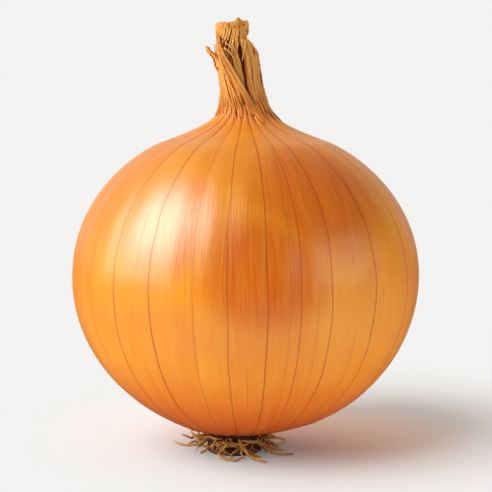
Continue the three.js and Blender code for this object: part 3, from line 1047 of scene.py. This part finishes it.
def neck_line(*stops):
    """A line on the neck, through stops of azimuth in degrees, height, and distance from the skin."""
    turn, z, above = smooth_through(np.array(stops, float), 6).T
    turn, reach = np.radians(turn), skin_radius(z) + above
    return np.column_stack([skin_middle(z) + reach * np.sin(turn), -reach * np.cos(turn), z])


def neck_strand(stops, thickness, taper, seed, flat=0.8):
    """A strand along a line on the neck."""
    line = neck_line(*stops)
    axis_x = skin_middle(line[:, 2].mean())
    return bent_strand(line, thickness, taper, seed, axis_x, flat, lit_side=0.3)


chance = np.random.default_rng(77)
for index in range(16):
    turn = -48 + 5.6 * index + chance.uniform(-3, 3)
    swing, drop = chance.uniform(-26, -6), chance.uniform(2.4, 5)
    stops = [(turn, 99.0, 0), (turn + 0.2 * swing, 97.6, 0.1)]
    stops += [(turn + 0.7 * swing, 97.2 - 0.6 * drop, 0.5), (turn + swing, 97.2 - drop, 0.2)]
    cup_parts.append(neck_strand(stops, chance.uniform(0.32, 0.6), 0.5, 700 + index))
lobe = [(-78, 96.4, -0.4), (-84, 97.4, -0.1), (-86, 98.6, 0.15), (-80, 99.8, -0.2), (-66, 100.2, -0.9)]
cup_parts.append(neck_strand(lobe, 1.5, 0.2, 760))
cup = join(cup_parts, "neck_torn_cup")
finish_piece(cup, "torn_leaf_cup", dry_leaf)
print("cup:", len(cup.data.polygons), "faces")

# %% [markdown]
# ## Loose fibres on the neck
# In the gap between the leaf ends the inner stalk shows, with its own strands, and a few threads
# of dry leaf have come away and lie across it.

# %% Loose fibres
threads = []
for index, turn in enumerate((-42, -36, -28, -16, -10, -4, 1, 6, 10, 30)):
    low, high = chance.uniform(81, 86), chance.uniform(93, 98)
    lean = chance.uniform(-8, 0)
    stops = [(turn, low, -0.5), (turn + 0.3 * lean, low + 3, -0.4), (turn + lean, high, -0.3)]
    threads.append(neck_strand(stops, chance.uniform(0.4, 0.8), 0.3, 800 + index, flat=0.7))
for index, stops in enumerate((
    [(-24, 95.8, 0.7), (-8, 94.4, 0.9), (6, 92.7, 0.7)],
    [(-30, 94.6, 0.8), (-16, 93.6, 0.9), (-6, 91.4, 0.5)],
    [(34, 96.6, 0.5), (22, 94.2, 0.9), (12, 91.6, 0.5)],
    [(8, 90.4, 0.4), (2, 92.8, 0.6), (-6, 95.4, 0.5)],
)):
    threads.append(neck_strand(stops, 0.34, 0.4, 850 + index))
neck_fibres = join(threads, "neck_fibres")
finish_piece(neck_fibres, None, dry_leaf)
print("neck fibres:", len(neck_fibres.data.polygons), "faces")

# %% [markdown]
# ## Dry roots
# Dead roots are wiry, brown and dull, lighter where they are scuffed. Each CAD root gives the
# middle line of one strand: its rings are found by walking over the mesh from the end at the
# %% Root material
ROOT_BROWN, ROOT_SCUFF = srgb(196, 116, 38), srgb(246, 188, 100)
# The last colour is painted shade, for the flanks and undersides of roots and for the disc.
ROOT_SPOT, ROOT_SHADE = srgb(136, 72, 22), srgb(78, 30, 4)
dry_root, tree, shader, place, grown_map, relief_and_shade = new_finish("dry_root")
u_v = split(tree, grown_map)
streaks = fibres(tree, u_v[0], u_v[1], 4.0)
spots = ramp(tree, cloud(tree, place, 260.0), 0.5, 0.8, 0.0, 0.7)
# Painted shade: where the relief is low, on flanks, undersides and the disc, the root is darkened.
flank_shade = ramp(tree, relief_and_shade, 0.0, 0.6, 0.9, 0.0)
tone = blend_colours(tree, streaks, ROOT_BROWN, ROOT_SCUFF)
tone = blend_colours(tree, spots, tone, ROOT_SPOT)
tone = blend_colours(tree, flank_shade, tone, ROOT_SHADE)
fill_finish(tree, shader, tone, calc(tree, "MULTIPLY_ADD", streaks, -0.15, 0.65), streaks, 0.6)
print("root material:", len(tree.nodes), "nodes")

# %% Where the plate is
plate_low, plate_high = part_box("root_plate")
plate_low, plate_high = plate_low / MM, plate_high / MM
PLATE_MIDDLE = (plate_low + plate_high) / 2
PLATE_RADIUS = (plate_high.y - plate_low.y) / 2


def root_point(turn, out, z):
    """A point at an azimuth in degrees and a distance from the plate's middle."""
    turn = math.radians(turn)
    return PLATE_MIDDLE.x + out * math.sin(turn), -out * math.cos(turn), z


# %% Read a root's middle line
def middle_line(name):
    """Middle line and thickness of a CAD root, from the plate outwards, in millimetres."""
    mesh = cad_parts[name].data
    keys = [tuple(round(c / MM, 3) for c in v.co) for v in mesh.vertices]
    friends = {key: set() for key in keys}
    for face in mesh.polygons:
        corners = [keys[i] for i in face.vertices]
        for corner in corners:
            friends[corner].update(corners)
    ends = [point for point, near in friends.items() if len(near) == 7]
    start = min(ends, key=lambda p: math.hypot(p[0] - PLATE_MIDDLE.x, p[1]))
    seen, ring, rings = {start}, {start}, []
    while ring:
        rings.append(np.mean(list(ring), axis=0))
        if len(rings) == 2:
            thickness = 2 * max(np.linalg.norm(np.array(p) - rings[1]) for p in ring)
        ring = {q for p in ring for q in friends[p]} - seen
        seen |= ring
    return np.array(rings[1:-1]), thickness


root_names = sorted(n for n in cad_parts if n.startswith("root_") and n != "root_plate")
for name in root_names[:3]:
    line, thickness = middle_line(name)
    print(name, len(line), "rings", round(thickness, 2), "mm thick")


# %% The named roots
def wander(line, size, seed):
    """A line that strays from the given one, more so further out, and stays above the floor."""
    dice = np.random.default_rng(seed)
    line = even_path(line, 14)
    share = np.linspace(0, 1, len(line))
    for axis, stray in ((0, size), (1, size), (2, 0.5 * size)):
        for bend in (1, 2, 3):
            wave = np.sin(2 * math.pi * bend * share * dice.uniform(0.6, 1.1) + dice.uniform(0, 6.3))
            line[:, axis] += stray / bend * wave * step(share, 0, 0.4)
    line[:, 2] = np.maximum(line[:, 2], 0.35)
    return line


# Some roots cross the front of the plate before they leave it, and one curls back to it.
STARTS = {"root_01": [(-30, 7.2, 3.6), (-10, 7.6, 3.3)], "root_03": [(8, 7.4, 4.0), (30, 7.8, 3.8)],
          "root_19": [(-26, 7.3, 3.4)], "root_18": [(-20, 7.5, 4.4), (-36, 7.7, 4.3)]}
TAILS = {"root_02": [(4, 11.0, 0.5), (13, 9.0, 0.7)], "root_18": [(-71, 10.6, 5.9)]}
for index, name in enumerate(root_names):
    line, thickness = middle_line(name)
    inward = line[0] + (line[0] - line[1]) / np.linalg.norm(line[0] - line[1]) * 1.2
    before = [root_point(*stop) for stop in STARTS.get(name, [])] or [inward]
    after = [root_point(*stop) for stop in TAILS.get(name, [])]
    path = wander(np.vstack([before, line, *([after] if after else [])]), 0.35, 100 + index)
    strand = bent_strand(path, 0.95 * thickness, 0.45, 200 + index)
    strand.name = f"root_strand_{name[-2:]}"
    apply_modifier(strand, "SUBSURF", levels=1, render_levels=1)
    finish_piece(strand, name, dry_root)
print(len(root_names), "root strands")


# %% Hair roots
def make_hair_roots(count, seed):
    """Fine roots tangled round the plate, joined in one piece."""
    dice = np.random.default_rng(seed)
    hairs = []
    for index in range(count):
        turn = 360 * (index + dice.uniform(-0.4, 0.4)) / count
        swing = dice.uniform(-50, 50)
        low = index % 3 > 0
        start_z = dice.uniform(1.5, 4.8)
        reach = dice.uniform(1.2, 4.6) if low else dice.uniform(0.8, 3.6)
        end_z = dice.uniform(0.3, 1.2) if low else dice.uniform(2.6, 4.4)
        line = []
        for share in np.linspace(0, 1, 5):
            out = PLATE_RADIUS - 0.6 + reach * share
            z = start_z + (end_z - start_z) * share**1.3
            line.append(root_point(turn + swing * share, out, z))
        path = wander(np.array(line), dice.uniform(0.2, 0.5), seed + index)
        hairs.append(bent_strand(path, dice.uniform(0.25, 0.65), 0.5, seed + 500 + index))
    return join(hairs, "hair_roots")


hair_roots = make_hair_roots(52, 1000)
finish_piece(hair_roots, None, dry_root)
bpy.data.objects.remove(straight)
print("hair roots:", len(hair_roots.data.polygons), "faces")

# %% [markdown]
# ## The root disc
# The plate is the pressed end of the stem: a low drum, rough with the scars of broken roots. It starts
# as a cylinder with bevelled rims; small lumps are then moved in, and its flat underside is kept.

# %% The root disc
deselect()
bpy.ops.mesh.primitive_cylinder_add(
    vertices=48, radius=PLATE_RADIUS * MM, depth=(plate_high.z - plate_low.z) * MM,
    location=(PLATE_MIDDLE.x * MM, 0, PLATE_MIDDLE.z * MM),
)
disc = bpy.context.object
disc.name = "root_disc"
bpy.ops.object.mode_set(mode="EDIT")
bpy.ops.mesh.select_all(action="SELECT")
bpy.ops.mesh.bevel(offset=0.9 * MM, segments=3)
bpy.ops.mesh.select_all(action="SELECT")
bpy.ops.mesh.quads_convert_to_tris()
bpy.ops.mesh.subdivide(number_cuts=3)
bpy.ops.object.mode_set(mode="OBJECT")
bpy.ops.object.transform_apply(location=True, rotation=True, scale=True)
points = get_points(disc)
scars = lumps(points, 0.9, 61) + 0.6 * lumps(points, 0.45, 62)
turn, reach = turn_and_reach(points, PLATE_MIDDLE.x)
side_share = step(points[:, 2], 0.2, 1.2) * step(reach, 3, 5)
grown = 0.9 + 0.09 * scars * side_share - 0.06 * side_share
points[:, 0] = PLATE_MIDDLE.x + (points[:, 0] - PLATE_MIDDLE.x) * grown
points[:, 1] *= grown
set_points(disc, points)
# The disc's low relief makes the root material paint it dark, as shade under the bulb.
store_value(disc, "relief", np.clip(0.15 * scars, 0, 1))
store_map(disc, "grown", turn * PLATE_RADIUS, points[:, 2] / 10, 2 * math.pi * PLATE_RADIUS)
finish_piece(disc, "root_plate", dry_root)
print("disc:", len(disc.data.polygons), "faces")

# %% Sizes, and the end
low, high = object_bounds()
print("visual box, mm:", [round(v / MM, 1) for v in (*low, *high)])
